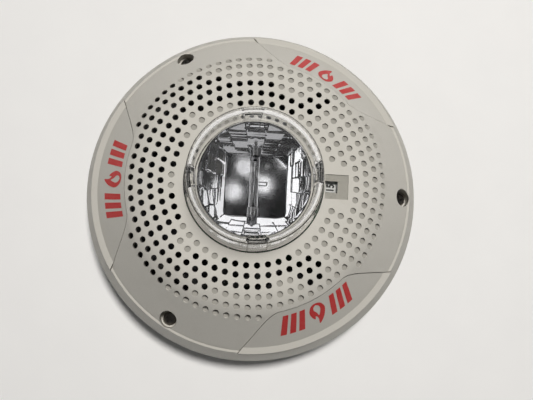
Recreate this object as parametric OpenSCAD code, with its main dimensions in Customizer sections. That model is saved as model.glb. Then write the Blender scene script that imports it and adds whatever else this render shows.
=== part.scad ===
// Ceiling fire-alarm sounder with strobe: a round head that plugs into a mounting plate.
// +Z points out of the mounting surface, z = 0 is that surface, and +X runs through the
// window that shows the strobe's light setting. Millimetres.

/* [Cover] */
// Outer diameter where the cover meets the mounting surface
body_d = 172.7; // [160:0.1:210]
// Height of the flat face
face_z = 39.4; // [38:0.1:48]
// Radius of the flat part of the face
flat_r = 46; // [44:0.5:48]
// Radius of the bend from the flat face into the slope
bend_r = 22; // [18:0.5:26]
// Height of the rim edge, where the slope ends
edge_z = 11.7; // [10:0.1:14]
// How far the rim edge is set in from the outer diameter
edge_inset = 6.1; // [4:0.1:8]
// Thickness of the face
face_t = 2.2; // [1.8:0.1:2.8]
// Thickness of the slope, measured upwards
slope_t = 4.0; // [3.6:0.1:4.6]
// Thickness of the side wall
wall_t = 2.4; // [2:0.1:3]

/* [Grille] */
// Distance between rings of holes; ring k has 6k holes
ring_pitch = 4.8; // [4.5:0.05:5.4]
// Diameter of a grille hole
hole_d = 2.9; // [2.4:0.1:3.2]
// Depth of a blind hole
dimple_depth = 1.1; // [0.8:0.1:1.4]
// Turn of the hole pattern about the axis
ring_turn = 5; // [0:1:10]

/* [Marking panels] */
// Radius of a panel's inner edge
panel_r = 61; // [60.5:0.1:63]
// Half the angle that a panel spans at the rim
panel_half = 33; // [28:1:36]
// Thickness of a panel
panel_t = 1.5; // [1.2:0.1:2]
// How far a panel's inner edge lies under the slope
panel_sink = 0.5; // [0.2:0.1:0.8]
// How far a panel's lip falls towards the rim
lip_drop = 0.9; // [0.5:0.1:1.2]
// Gap between a panel and the cover
panel_gap = 0.25; // [0.15:0.05:0.4]

/* [Lens and reflector] */
// Diameter of the lens where it leaves the cover
lens_d = 65.2; // [60:0.2:66]
// Height of the lens above the face
lens_h = 29.6; // [24:0.1:32]
// How much smaller the lens's radius is at its shoulder
lens_taper = 2.6; // [2:0.1:5]
// Radius of the lens's shoulder
shoulder_r = 8; // [4:0.5:12]
// How far the lens's top is crowned
lens_crown = 1.2; // [0.6:0.1:2]
// Wall of the lens
lens_t = 2; // [1.5:0.1:2.5]
// Height of the reflector's rim above the face
reflector_h = 5.6; // [4:0.1:8]
// Gap between the reflector's rim and the lens's wall
reflector_gap = 2.3; // [2:0.1:4]
// Diameter of the flash tube
tube_d = 4.2; // [3.5:0.1:5]

/* [Candela setting] */
// Width of the window, across the slider
window_w = 11; // [10.5:0.1:12]
// Length of the window, along the slider
window_l = 11.6; // [11:0.1:14]
// Distance between two settings of the slider
setting_pitch = 5; // [4.5:0.1:5.2]
// Number of settings
settings = 7; // [5:1:7]
// Thickness of the slider
slider_t = 1.2; // [1:0.1:1.5]

/* [Sounder] */
// Outer diameter of the cone driver's flange
driver_d = 102; // [85:0.5:104]
// How far the driver's axis is set to -X
driver_x = 16; // [15:0.5:18]
// Height of the driver's flange
flange_z = 19.6; // [19:0.1:20.5]
// Thickness of the driver's pressed steel
steel_t = 1.2; // [1:0.1:1.4]
// Diameter of the magnet
magnet_d = 60; // [50:0.5:62]
// Thickness of the magnet
magnet_t = 10; // [8:0.5:12]
// Diameter of the pole
pole_d = 18; // [16:0.2:20]
// Radial gap between the pole and the coil former
coil_gap = 0.25; // [0.2:0.05:0.4]

/* [Mounting plate] */
// Thickness of the mounting plate
plate_t = 2; // [1.6:0.1:2.4]
// Gap between the mounting plate and the cover's side wall
plate_gap = 2.5; // [2:0.1:4]
// Clearance between the magnet and the hole it passes through
magnet_gap = 4; // [3:0.5:5]
// Nominal distance between the two slots for an octagonal or single-gang box
gang_pitch = 86.1; // [85.5:0.1:88.9]
// Length of such a slot, which covers boxes from 83.3 to 88.9 between screws
gang_slot = 7.2; // [7.2:0.1:7.6]
// Spacing of the four holes for a double-gang box, across
double_gang_x = 46; // [46:0.1:46.2]
// Spacing of the four holes for a double-gang box, along
double_gang_y = 83.3; // [83.2:0.1:83.5]
// Diameter of the box screw holes
box_hole_d = 4.4; // [4.2:0.1:4.8]
// Width of the opening for the field wires
port_w = 12; // [8:0.5:13]
// Length of the opening for the field wires
port_l = 36; // [24:0.5:40]

/* [Plug connection] */
// Number of poles
poles = 5; // [4:1:5]
// Distance between poles
pole_pitch = 7.6; // [7:0.1:7.8]
// Height of the terminal block's body
block_h = 9; // [8:0.5:9.5]
// Thickness of a contact pin
pin_t = 0.8; // [0.6:0.1:1]

/* [Captive screws] */
// Inset of the screws from the rim edge
screw_inset = 3.8; // [3.6:0.1:4.2]
// Diameter of the well over each screw
well_d = 9; // [8.6:0.1:9.4]
// Diameter of the screw's head
head_d = 6.8; // [6.2:0.1:7.4]
// Diameter of the screw's thread
thread_d = 3.9; // [3.5:0.1:4]

/* [Hidden] */

$fn = 96;
eps = 0.01;
tall = 200;

white = [0.86, 0.85, 0.81];
steel = [0.72, 0.73, 0.75];
brass = [0.80, 0.65, 0.33];
dark = [0.12, 0.12, 0.13];
green = [0.10, 0.32, 0.18];

// slope of the cover: the line from the rim edge that touches the bend's circle
rim_r = body_d/2;
edge_r = rim_r - edge_inset;
bend_z = face_z - bend_r;
slope_from_edge = atan2(edge_z - bend_z, edge_r - flat_r);
slope_reach = norm([edge_r - flat_r, edge_z - bend_z]);
slope_angle = 90 - slope_from_edge - acos(bend_r/slope_reach);
slope_r = flat_r + bend_r*sin(slope_angle);
slope_z = bend_z + bend_r*cos(slope_angle);
foot_z = 0.4;
skirt_z = 2.6;
ledge_w = 1;

// height of the outer surface, and of the inner one under it, at radius r
function top_z(r) = r <= flat_r ? face_z
    : r <= slope_r ? bend_z + sqrt(pow(bend_r, 2) - pow(r - flat_r, 2))
    : slope_z - (r - slope_r)*tan(slope_angle);
function skin_t(r) = face_t + (slope_t - face_t)*min(1, max(0, (r - flat_r)/(slope_r - flat_r)));
function under_z(r) = top_z(r) - skin_t(r);

bend_steps = 12;
bend_points = [for (i = [0:bend_steps]) flat_r + bend_r*sin(slope_angle*i/bend_steps)];

// rings of holes between the lens and the slope
flange_reach = 2.4;
lens_r = lens_d/2;
lens_top_r = lens_r - lens_taper;
window_x = max(lens_r + 0.6, driver_d/2 - driver_x - 1.8);
first_ring = ceil((lens_r + flange_reach + hole_d/2 + 0.5)/ring_pitch);
last_ring = floor(slope_r/ring_pitch);

// bands of open holes on rings 8 to 13, in degrees either side of -X, over the sounder
open_bands = [[[7, 30], [71, 120]], [[0, 40], [50, 130]], [[0, 102], [118, 132]],
              [[0, 70], [119, 130]], [[0, 61]], [[0, 50]]];
window_keep = 14;
panel_keep = 23;
panel_angles = [60, 180, 300];
screw_angles = [0, 120, 240];

function away(a, b) = abs((a - b + 540) % 360 - 180);
function in_bands(bands, d) = len([for (b = bands) if (d >= b[0] && d < b[1]) 1]) > 0;
function is_open(k, a) = k >= 8 && k <= 13 && in_bands(open_bands[k - 8], away(a, 180));
function is_kept(k, a) = !(k*ring_pitch < window_x + window_w + hole_d/2 && away(a, 0) < window_keep)
    && !(k*ring_pitch > panel_r - hole_d/2 && min([for (p = panel_angles) away(a, p)]) < panel_keep);
grille = [for (k = [first_ring:last_ring]) for (j = [0:6*k - 1])
    let (a = ring_turn + 90 + 60*j/k) if (is_kept(k, a)) [k*ring_pitch, a, is_open(k, a)]];

// marking panels: inner edge round the grille, sides flowing out to the rim
panel_flat = 16;
panel_flow = 1.7;
panel_steps = 14;
lip_w = 2;
lip_out = ledge_w + 0.3;
function panel_edge(d) = panel_r + (edge_r + 3 - panel_r)
    *pow(max(0, abs(d) - panel_flat)/(panel_half - panel_flat), panel_flow);
function panel_outline(grow) = concat(
    [for (i = [-panel_steps:panel_steps]) let (d = i/panel_steps*panel_half,
        r = panel_edge(d) - grow) r*[cos(d), sin(d)] + (i == 0 ? 0 : sign(i)*grow)*[-sin(d), cos(d)]],
    [(rim_r + 6)*[cos(panel_half), sin(panel_half)], (rim_r + 8)*[1, 0],
     (rim_r + 6)*[cos(panel_half), -sin(panel_half)]]);

// centre stack, downwards from the face
seal_t = 0.8;
flange_t = 1.6;
stack_r = lens_r + flange_reach;
seal_z = face_z - face_t - seal_t;
flange_top = seal_z;
reflector_flange_z = flange_top - flange_t - 1.4;
board_z = face_z - 11.4;
board_t = 1.6;
board_x = 64;
board_y = 72;
board_corner = 9;
boss_x = 26.2;
boss_y = 29.2;
boss_d = 6.4;

// candela slider: numbers sit side by side along Y under the window
stack_flat = window_x - 0.45;
slot_x = window_x + 0.2;
label_w = 6.2;
slot_w = label_w - 0.3;
slot_y = setting_pitch/2 + 0.2;
slider_z = board_z + 5.2;
slider_travel = (settings - 1)*setting_pitch;
slider_end = 3.2;
stem_x = slot_x + 2.2;
stem_w = 2.6;
stem_l = 3.4;
tab_x = slot_x + label_w + 3;

// cone driver
driver_r = driver_d/2;
magnet_r = magnet_d/2;
pole_r = pole_d/2;
former_r = pole_r + coil_gap;
former_t = 0.15;
winding_t = 0.55;
coil_r = former_r + former_t + winding_t;
basket_r = driver_r - 5;
cone_r = driver_r - 12.5;
gap_z = -0.4;
top_plate_t = 4;
magnet_top = gap_z - top_plate_t;
yoke_t = 4;
yoke_z = magnet_top - magnet_t - yoke_t;
neck_z = flange_z - 13;
cone_top = flange_z - 0.4;
spider_z = neck_z - 2.4;
gasket_t = 0.6;
cone_t = 0.8;

// rear housing
housing_z = plate_t + 0.6;
housing_t = 2;
housing_r = edge_r - screw_inset - well_d/2 - 2.1;
well_r = driver_r - 0.5;
well_wall = 3;
post_d = 7;
post_r = housing_r - housing_t - post_d/2 - 0.5;
post_angles = [60, 120, 240, 300];
post_screw_d = 3;
screw_seat = 1.1;

// main board over the terminal pocket
block_x = 54;
block_w = 16;
block_l = poles*pole_pitch + 2;
block_z = plate_t;
pocket_z = block_z + block_h + 1.4;
main_z = pocket_z + housing_t + 1.2;
main_inner = driver_r + 3;
main_outer = min(housing_r - 3, slope_r + (slope_z - slope_t - main_z - board_t - 1.6)/tan(slope_angle));
main_half = 52;
main_posts = [[59, 27.5], [59, -27.5]];
pin_x = block_x + 4;
clamp_x = block_x - 3.5;
switch_pos = [42, 33.5];
switch_d = 12;

// captive screws and the plate bosses they turn into
screw_r = edge_r - screw_inset;
tower_d = well_d + 2.4;
tower_z = plate_t + 1.8;
seat_z = tower_z + 2;
plate_boss_h = 1.4;
plate_boss_d = 7.6;
head_h = 2.2;

module ring(r1, r2, z1, z2) {
    translate([0, 0, z1]) difference() {
        cylinder(h = z2 - z1, r = r2);
        translate([0, 0, -eps]) cylinder(h = z2 - z1 + 2*eps, r = r1);
    }
}
module disc(r, z1, z2) { translate([0, 0, z1]) cylinder(h = z2 - z1, r = r); }
module box(x1, x2, y1, y2, z1, z2) { translate([x1, y1, z1]) cube([x2 - x1, y2 - y1, z2 - z1]); }
module at(p) { translate([p[0], p[1], 0]) children(); }
module polar(r, a) { rotate([0, 0, a]) translate([r, 0, 0]) children(); }
module corners(x, y) { for (sx = [-1, 1], sy = [-1, 1]) translate([sx*x, sy*y, 0]) children(); }
module driver_axis() { translate([-driver_x, 0, 0]) children(); }
module at_poles() { for (i = [0:poles - 1]) translate([0, (i - (poles - 1)/2)*pole_pitch, 0]) children(); }

// a screw with a domed head standing on z = 0, its shank going down
module pan_screw(d, l, head, head_t, drive = 1) {
    difference() {
        union() {
            translate([0, 0, -l]) cylinder(h = l + eps, d = d, $fn = 24);
            cylinder(h = head_t*0.55, d = head, $fn = 32);
            translate([0, 0, head_t*0.55]) cylinder(h = head_t*0.45, d1 = head, d2 = head*0.7, $fn = 32);
        }
        for (a = [0, 90]) rotate([0, 0, a]) translate([-head*0.3, -drive/2, head_t*0.45])
            cube([head*0.6, drive, head_t]);
    }
}

// ---- cover ----
function outer_profile() = concat([[0, face_z], [flat_r, face_z]],
    [for (i = [1:bend_steps]) [bend_points[i], top_z(bend_points[i])]],
    [[edge_r - 0.9, top_z(edge_r - 0.9)], [edge_r - 0.2, edge_z + 0.1],
     [edge_r + ledge_w, edge_z - 0.15], [edge_r + ledge_w + 0.4, edge_z - 0.8],
     [rim_r - 0.4, skirt_z + 0.8], [rim_r, skirt_z], [rim_r, foot_z]]);
function inner_profile() = concat([[0, face_z - face_t]],
    [for (i = [0:bend_steps]) [bend_points[i], under_z(bend_points[i])]],
    [[edge_r - wall_t - 1.4, under_z(edge_r - wall_t - 1.4)],
     [rim_r - wall_t - 0.8, skirt_z + 0.8], [rim_r - wall_t, skirt_z], [rim_r - wall_t, foot_z]]);

module outer_form() { rotate_extrude($fn = 180) polygon(concat(outer_profile(), [[0, foot_z]])); }
module skin() {
    inside = inner_profile();
    rotate_extrude($fn = 180) polygon(concat(outer_profile(),
        [for (i = [len(inside) - 1:-1:0]) inside[i]]));
}

module panel_shape(grow) { linear_extrude(tall) polygon(panel_outline(grow)); }

// a panel follows the slope a little below it and ends in a flatter lip at the rim
function panel_top(r) = slope_z - (r - slope_r)*tan(slope_angle) - panel_sink;
lip_r = edge_r - lip_w;
module panel_layer(inner, outer, low, high) {
    rotate([0, 0, -panel_half - 4]) rotate_extrude(angle = 2*panel_half + 8, $fn = 180)
        polygon([[inner, panel_top(inner) - low], [inner, panel_top(inner) + high],
                 [lip_r, panel_top(lip_r) + high], [outer, panel_top(lip_r) - lip_drop + high],
                 [outer, panel_top(outer) - low]]);
}

module panel() {
    intersection() {
        panel_layer(panel_r - 1, edge_r + lip_out, panel_t, 0);
        panel_shape(0);
    }
    for (d = [-14, 14]) rotate([0, 0, d]) panel_hook();
}
hook_r = 68;
hook_w = 4;
hook_t = 1.4;
module panel_hook() {
    foot = under_z(hook_r) - 2.4;
    box(hook_r, hook_r + hook_t, -hook_w/2, hook_w/2, foot, panel_top(hook_r + hook_t) - 0.4);
    box(hook_r - 0.7, hook_r + eps, -hook_w/2, hook_w/2, foot, foot + 0.8);
}

module marking_panels() {
    color(white) for (a = panel_angles) rotate([0, 0, a]) panel();
}

// blind holes follow the surface down, open ones go right through
module grille_holes() {
    for (h = grille) polar(h[0], h[1]) {
        low = min(top_z(h[0] - hole_d/2), top_z(h[0] + hole_d/2));
        bottom = h[2] ? top_z(h[0]) - 8 : (low + top_z(h[0]))/2 - dimple_depth;
        translate([0, 0, bottom]) cylinder(h = top_z(h[0] - hole_d/2) + 0.6 - bottom, d = hole_d, $fn = 24);
    }
}

module front_cover() {
    color(white) difference() {
        union() {
            difference() {
                skin();
                grille_holes();
            }
            intersection() {
                outer_form();
                union() {
                    for (a = screw_angles) polar(screw_r, a)
                        translate([0, 0, tower_z]) cylinder(h = face_z, d = tower_d, $fn = 48);
                    for (a = post_angles) polar(post_r, a)
                        translate([0, 0, housing_z + housing_t]) cylinder(h = under_z(post_r) - housing_z, d = post_d, $fn = 48);
                    corners(boss_x, boss_y) disc(boss_d/2, board_z + board_t, face_z - face_t + eps);
                }
            }
        }
        disc(lens_r + 0.15, 0, tall);
        for (a = screw_angles) polar(screw_r, a) {
            disc(well_d/2, seat_z, tall, $fn = 48);
            disc(thread_d/2 + 0.35, 0, tall, $fn = 48);
        }
        for (a = post_angles) polar(post_r, a)
            disc(post_screw_d/2 - 0.3, 0, housing_z + housing_t + 9, $fn = 32);
        corners(boss_x, boss_y) disc(1.1, board_z, face_z - face_t - 0.8, $fn = 32);
        box(window_x, window_x + window_w, -window_l/2, window_l/2, face_z - 0.8, tall);
        box(slot_x, slot_x + slot_w, -slot_y, slot_y, face_z - face_t - 1, tall);
        for (a = panel_angles) rotate([0, 0, a]) intersection() {
            panel_layer(panel_r - 2, edge_r + lip_out + panel_gap, panel_t + 0.1, 6);
            panel_shape(panel_gap);
        }
        for (a = panel_angles, d = [-14, 14]) rotate([0, 0, a + d])
            box(hook_r - 1, hook_r + hook_t + 0.3, -hook_w/2 - 0.3, hook_w/2 + 0.3, 0, tall);
    }
}

// ---- lens, window, reflector and flash tube ----
module stack_disc(r1, r2, z1, z2) {
    difference() {
        ring(r1, r2, z1, z2);
        box(stack_flat, tall, -tall/2, tall/2, z1 - 1, z2 + 1);
        corners(boss_x, boss_y) disc(boss_d/2 + 0.3, z1 - 1, z2 + 1);
    }
}

shoulder_steps = 10;
function lens_shell(inset) = let (top = face_z + lens_h - inset, s = shoulder_r - inset*0.6,
    c = lens_top_r - inset - s, zc = top - lens_crown - s)
    concat([for (i = [0:shoulder_steps]) let (a = 90*i/shoulder_steps) [c + s*cos(a), zc + s*sin(a)]],
           [for (i = [1:6]) let (t = i/6) [c*(1 - t), zc + s + lens_crown*(1 - pow(1 - t, 2))]]);

module lens() {
    outer = concat([[lens_r, flange_top], [lens_r, face_z + 1.2]], lens_shell(0));
    inner = concat([[lens_r - lens_t, flange_top - flange_t], [lens_r - lens_t, face_z + 1.2]],
                   lens_shell(lens_t));
    color([0.85, 0.9, 0.95, 0.35]) union() {
        rotate_extrude($fn = 180) polygon(concat(outer, [for (i = [len(inner) - 1:-1:0]) inner[i]],
            [[lens_r, flange_top - flange_t]]));
        stack_disc(lens_r - eps, stack_r, flange_top - flange_t, flange_top);
    }
}

module lens_seal() { color(dark) stack_disc(lens_r + 0.3, stack_r, seal_z, seal_z + seal_t); }

module window_pane() {
    g = 0.12;
    x1 = window_x + g;
    x2 = window_x + window_w - g;
    y = window_l/2 - g;
    color([0.8, 0.85, 0.88, 0.4]) difference() {
        union() {
            box(x1, x2, -y, y, face_z - 0.8, face_z - 0.1);
            box(slot_x + g, slot_x + slot_w - g, -slot_y + g, slot_y - g, face_z - face_t, face_z - 0.8 + eps);
        }
        for (i = [1:3]) box(x1 - 1, x2 - 1.15*i, -y + 0.9*i, y - 0.9*i, face_z - 0.1 - 0.15*i, face_z);
    }
}

reflector_r = lens_r - lens_t - reflector_gap;
trough = 0.6*reflector_r;
tube_l = 1.06*reflector_r;
post_y = tube_l/2 + 2.9;
module reflector() {
    r = reflector_r;
    rim = face_z + reflector_h;
    mid = face_z - 1.6;
    floor_z = reflector_flange_z + 1.6;
    color([0.9, 0.9, 0.92]) difference() {
        union() {
            disc(r, reflector_flange_z, rim);
            stack_disc(r - 1, stack_r - 0.2, reflector_flange_z, flange_top - flange_t);
        }
        hull() {
            disc(r - 0.8, rim, rim + 1);
            box(-trough, trough, -trough, trough, mid, mid + 0.1);
        }
        hull() {
            box(-trough, trough, -trough, trough, mid, mid + 0.2);
            box(-5, 5, -11, 11, floor_z, floor_z + 0.1);
        }
        for (s = [-1, 1]) translate([0, s*post_y, 0]) disc(1.3, 0, tall, $fn = 32);
        translate([6, 0, 0]) disc(0.8, 0, tall, $fn = 24);
        for (a = [0, 90, 180, 270]) rotate([0, 0, a]) box(r - 3, r + 1, -2.6, 2.6, rim - 2.2, rim + 1);
    }
}

tube_z = face_z + 1.4;
module flash_tube() {
    color([0.9, 0.92, 0.95, 0.4]) translate([0, tube_l/2, tube_z]) rotate([90, 0, 0]) difference() {
        cylinder(h = tube_l, d = tube_d, $fn = 32);
        translate([0, 0, 1.2]) cylinder(h = tube_l - 2.4, d = tube_d - 1.4, $fn = 32);
    }
}

module tube_electrodes() {
    color(steel) for (s = [-1, 1]) translate([0, s*tube_l/2, tube_z]) rotate([s*-90, 0, 0]) {
        difference() {
            translate([0, 0, -3]) cylinder(h = 3.8, d = tube_d + 0.8, $fn = 32);
            translate([0, 0, -3.01]) cylinder(h = 3.01, d = tube_d, $fn = 32);
        }
        translate([0, 0, 0.8]) cylinder(h = 1.4, d = 1, $fn = 24);
    }
}

module tube_posts() {
    color(steel) for (s = [-1, 1]) translate([0, s*post_y, 0])
        disc(0.7, board_z + board_t, tube_z + 1.2, $fn = 24);
}

module trigger_wire() {
    wire = 0.6;
    color(steel) {
        translate([6, 0, 0]) disc(wire/2, board_z + board_t, tube_z, $fn = 16);
        translate([tube_d/2 + 0.02, 0, tube_z]) rotate([0, 90, 0])
            cylinder(h = 6 - tube_d/2, d = wire, $fn = 16);
    }
}

// ---- strobe board and what is on it ----
module board_outline(x, y, c) {
    polygon([[x/2, y/2 - c], [x/2 - c, y/2], [-x/2 + c, y/2], [-x/2, y/2 - c],
             [-x/2, -y/2 + c], [-x/2 + c, -y/2], [x/2 - c, -y/2], [x/2, -y/2 + c]]);
}

module strobe_board() {
    reach = slider_travel + slider_end;
    color(green) translate([0, 0, board_z]) difference() {
        union() {
            linear_extrude(board_t) board_outline(board_x, board_y, board_corner);
            translate([board_x/2 - 4, -reach - 2, 0]) cube([tab_x + 4 - board_x/2, 2*reach + 4, board_t]);
        }
        corners(boss_x, boss_y) disc(1.5, -1, 3, $fn = 32);
        translate([stem_x - 0.4, -slider_travel - stem_l/2 - 0.6, -1])
            cube([stem_w + 0.8, slider_travel + stem_l + 1.2, 4]);
    }
}

module board_screws() {
    color(steel) corners(boss_x, boss_y) translate([0, 0, board_z]) mirror([0, 0, 1])
        pan_screw(2.2, 6, 5, 1.8, 0.9);
}

module strobe_parts() {
    color(dark) {
        box(-24, -14, -8, -2, board_z - 1.6, board_z);
        box(-20, -16, 8, 12, board_z - 1.6, board_z);
        box(10, 20, 10, 17, board_z - 2.4, board_z);
        box(4, 11, -20, -12, board_z - 2.8, board_z);
        for (i = [0:5]) box(-12 + 4*i, -10 + 4*i, 20, 23.2, board_z - 0.6, board_z);
        for (i = [0:4]) box(-10 + 4*i, -8 + 4*i, -28, -24.8, board_z - 0.6, board_z);
        translate([-18, -22, 0]) disc(3, board_z - 2.6, board_z, $fn = 32);
    }
}

// ---- candela slider ----
module candela_slider() {
    color([0.93, 0.93, 0.9]) difference() {
        union() {
            box(slot_x, slot_x + label_w, -slider_end, slider_travel + slider_end, slider_z, slider_z + slider_t);
            box(stem_x, stem_x + stem_w, -stem_l/2, stem_l/2, housing_z + 0.6, slider_z + eps);
            box(stem_x - 0.2, stem_x + stem_w + 0.2, -stem_l/2 - 0.9, -stem_l/2 + 0.5, housing_z + 0.6, housing_z + 1.4);
        }
        for (i = [0:settings - 1]) box(slot_x + label_w - 0.8, slot_x + label_w + 1,
            i*setting_pitch - 0.4, i*setting_pitch + 0.4, slider_z - 1, slider_z + 0.5);
    }
}

module slider_wiper() {
    x = stem_x + stem_w + 0.6;
    color(brass) {
        box(x, x + 1.6, -2.4, 2.4, slider_z - 0.3, slider_z);
        box(x, x + 1.6, -2.4, -2.1, board_z + board_t + 0.05, slider_z - 0.3 + eps);
        box(x, x + 1.6, 2.1, 2.4, board_z + board_t + 0.05, slider_z - 0.3 + eps);
        box(x, x + 1.6, -2.4, -0.6, board_z + board_t + 0.05, board_z + board_t + 0.35);
        box(x, x + 1.6, 0.6, 2.4, board_z + board_t + 0.05, board_z + board_t + 0.35);
    }
}

// ---- rear housing ----
module crescent(r1, r2, half) {
    difference() {
        intersection() {
            circle(r = r2);
            polygon([[0, 0], 2*r2*[cos(half), sin(half)], [3*r2, 0], 2*r2*[cos(half), -sin(half)]]);
        }
        translate([-driver_x, 0]) circle(r = r1);
    }
}

module rear_housing() {
    pocket_x1 = block_x - block_w/2 - 1;
    pocket_x2 = block_x + block_w/2 + 1;
    pocket_y = block_l/2 + 1;
    color([0.25, 0.25, 0.26]) difference() {
        union() {
            disc(housing_r, housing_z, housing_z + housing_t);
            ring(housing_r - housing_t, housing_r, housing_z, housing_z + 5);
            driver_axis() ring(well_r - well_wall, well_r, housing_z, flange_z - gasket_t - steel_t);
            box(pocket_x1 - housing_t, pocket_x2 + housing_t, -pocket_y - housing_t, pocket_y + housing_t,
                housing_z, pocket_z + housing_t);
            for (p = main_posts) at(p) disc(3.2, housing_z, main_z, $fn = 48);
            at(switch_pos) disc(switch_d/2 + 2, housing_z, housing_z + 3.4, $fn = 64);
        }
        driver_axis() disc(well_r - well_wall, 0, tall);
        box(pocket_x1, pocket_x2, -pocket_y, pocket_y, 0, pocket_z);
        translate([pin_x, 0, 0]) at_poles() box(-0.9, 0.9, -2.3, 2.3, 0, tall);
        box(stem_x - 0.4, stem_x + stem_w + 0.4, -slider_travel - stem_l/2 - 1.3, stem_l/2 + 0.6, 0, pocket_z - 2);
        for (p = main_posts) at(p) disc(1.05, housing_z + 3, tall, $fn = 32);
        for (a = post_angles) polar(post_r, a) {
            disc(post_screw_d/2 + 0.3, 0, tall, $fn = 32);
            disc(3, 0, housing_z + screw_seat, $fn = 32);
        }
        at(switch_pos) disc(4.05, 0, tall, $fn = 64);
        driver_axis() for (a = driver_screw_angles) polar(driver_screw_r, a)
            disc(1.1, flange_z - gasket_t - steel_t - 9, tall, $fn = 32);
    }
}

module housing_screws() {
    color(steel) for (a = post_angles) polar(post_r, a) translate([0, 0, housing_z + screw_seat])
        mirror([0, 0, 1]) pan_screw(post_screw_d - 0.7, 9, 5.4, screw_seat - 0.1, 0.9);
}

// ---- cone driver ----
driver_screw_r = well_r - well_wall/2;
driver_screw_angles = [45, 135, 225, 315];
module driver_gasket() {
    color(dark) driver_axis() difference() {
        ring(well_r - well_wall, driver_r, flange_z - steel_t - gasket_t, flange_z - steel_t);
        for (a = driver_screw_angles) polar(driver_screw_r, a) disc(1.6, 0, tall, $fn = 32);
    }
}

module driver_basket() {
    foot_r = magnet_r - 3;
    low = gap_z + 1;
    color(steel) driver_axis() difference() {
        rotate_extrude() polygon([
            [basket_r - 2, flange_z], [driver_r, flange_z], [driver_r, flange_z - steel_t],
            [well_r - well_wall - 1.2, flange_z - steel_t], [foot_r + steel_t, low + steel_t*0.6],
            [foot_r + steel_t*0.4, low - 1], [coil_r + 3, low - 1], [coil_r + 3, low - 1 + steel_t],
            [foot_r - steel_t*0.3, low - 1 + steel_t], [basket_r - 3, flange_z - steel_t]]);
        for (a = [0:60:300]) rotate([0, 0, a + 30])
            box(foot_r + 2, basket_r - 4, -terminal_half, terminal_half, low + 3, flange_z - 5);
        for (a = driver_screw_angles) polar(driver_screw_r, a) disc(1.6, 0, tall, $fn = 32);
    }
}

module driver_screws() {
    color(steel) driver_axis() for (a = driver_screw_angles) polar(driver_screw_r, a)
        translate([0, 0, flange_z]) pan_screw(2.2, 8, 4.6, 1.6, 0.9);
}

module top_plate() {
    color(steel) driver_axis() ring(coil_r + 0.35, magnet_r - 3, magnet_top, gap_z);
}
module magnet() { color([0.18, 0.18, 0.19]) driver_axis() ring(magnet_r/2, magnet_r, magnet_top - magnet_t, magnet_top); }
module pole_yoke() {
    color(steel) driver_axis() {
        disc(magnet_r - 3, yoke_z, magnet_top - magnet_t);
        disc(pole_r, magnet_top - magnet_t - eps, gap_z);
    }
}

module spider() {
    r0 = former_r + former_t;
    outer = magnet_r - 7;
    waves = 4;
    w = (outer - r0)/waves;
    up = [for (i = [0:waves*4]) let (t = i/4) [r0 + t*w, spider_z + 0.8*sin(90*i)]];
    color([0.72, 0.55, 0.3]) driver_axis() {
        rotate_extrude() polygon(concat(up, [for (i = [waves*4:-1:0]) up[i] + [0, 0.5]]));
        ring(outer - 2, outer, gap_z + steel_t, spider_z + 0.2);
    }
}

module voice_coil() {
    color([0.75, 0.42, 0.2]) driver_axis() {
        ring(former_r, former_r + former_t, magnet_top - 1.5, neck_z + 0.6);
        ring(former_r + former_t - eps, coil_r, magnet_top - 1.2, gap_z + 1.2);
    }
}

module cone() {
    r0 = former_r + former_t;
    rise = cone_top - neck_z;
    color([0.10, 0.10, 0.11]) driver_axis() rotate_extrude() polygon(concat(
        [for (i = [0:8]) let (t = i/8) [r0 + (cone_r - r0)*t, neck_z + rise*(1 - pow(1 - t, 1.35))]],
        [for (i = [8:-1:0]) let (t = i/8) [r0 + (cone_r - r0)*t, neck_z - cone_t + rise*(1 - pow(1 - t, 1.35))]]));
}

module dust_cap() {
    cap = pole_r + 3.4;
    z0 = neck_z + (cone_top - neck_z)*(1 - pow(1 - (cap - former_r - former_t)/(cone_r - former_r - former_t), 1.35));
    color([0.14, 0.14, 0.15]) driver_axis() rotate_extrude() polygon(concat(
        [for (i = [0:6]) let (t = i/6) [cap*(1 - t), z0 + 0.9 + 3.4*(1 - pow(1 - t, 2))]],
        [for (i = [6:-1:0]) let (t = i/6) [(cap - 0.2)*(1 - t), z0 + 0.2 + 3.4*(1 - pow(1 - t, 2))]]));
}

module surround() {
    inner = cone_r - 1;
    outer = basket_r - 1;
    mid = (inner + outer)/2;
    half = (outer - inner)/2;
    z0 = flange_z + 0.1;
    arc = [for (i = [0:10]) let (a = 180 - 18*i) [mid + half*cos(a), z0 + 2.6*sin(a)]];
    color([0.08, 0.08, 0.09]) driver_axis() rotate_extrude() polygon(concat(
        [[inner - 1.4, z0]], arc, [[driver_screw_r - 2.6, z0], [driver_screw_r - 2.6, z0 + 0.6]],
        [for (i = [10:-1:0]) arc[i] + [0, 0.6]], [[inner - 1.4, z0 + 0.6]]));
}

terminal_angle = -30;
terminal_half = 7;
module driver_terminals() {
    color([0.55, 0.4, 0.22]) driver_axis() rotate([0, 0, terminal_angle]) {
        box(well_r - well_wall - 9, well_r - well_wall - 7.6, -terminal_half, terminal_half, flange_z - 12.5, flange_z - 6.5);
        for (s = [-1, 1]) box(well_r - well_wall - 10.6, well_r - well_wall - 6, s*3 - 0.8, s*3 + 0.8, flange_z - 10, flange_z - 9.4);
    }
}

module driver_leads() {
    reach = well_r - well_wall - 10.8;
    lead_r = former_r + former_t + 7.4;
    color([0.75, 0.5, 0.3]) driver_axis() rotate([0, 0, terminal_angle]) for (s = [-1, 1])
        translate([lead_r, s*3, flange_z - 10.6]) rotate([0, 90, 0])
            cylinder(h = reach - lead_r, d = 0.7, $fn = 16);
}

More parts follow.
